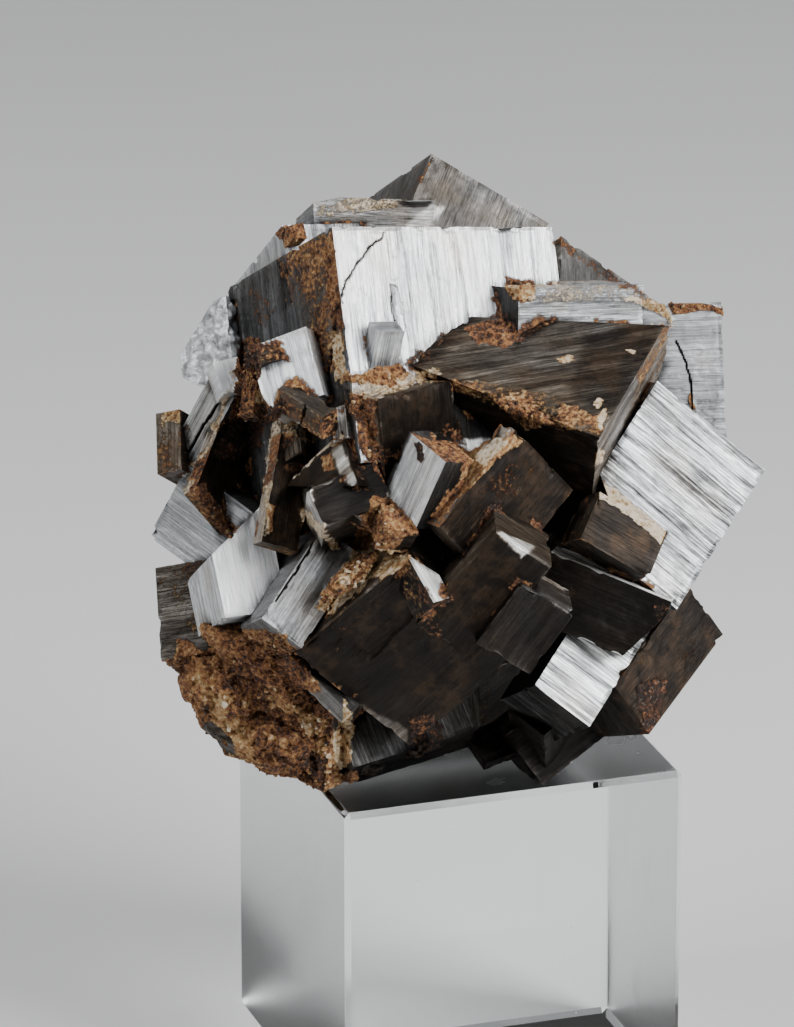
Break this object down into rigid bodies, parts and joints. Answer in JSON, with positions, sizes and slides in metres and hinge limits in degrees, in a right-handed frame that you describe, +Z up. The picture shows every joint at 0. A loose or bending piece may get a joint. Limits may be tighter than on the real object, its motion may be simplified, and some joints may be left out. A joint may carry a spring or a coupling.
{
  "type": "limonite pseudomorph specimen on a display block",
  "caption": "Ball of intergrown striated limonite cubes after pyrite, with rusty iron crust, resting on a clear cube-shaped display block.",
  "frame": {"origin": "middle of the clear block's underside, which rests on a table", "axes": "+Z up; the block's sides face along X and Y, and the specimen's best side faces between -Y and -X"},
  "size_m": [0.0428, 0.0406, 0.0663],
  "materials": {
    "limonite": "dark grey to black striated crystal faces with a metallic sheen and ochre to rust-brown crust",
    "clear_acrylic": "clear, with softly frosted sawn sides"
  },
  "bodies": {
    "root": {"pseudomorph": "limonite", "acrylic_stand": "clear_acrylic"}
  },
  "joints": []
}
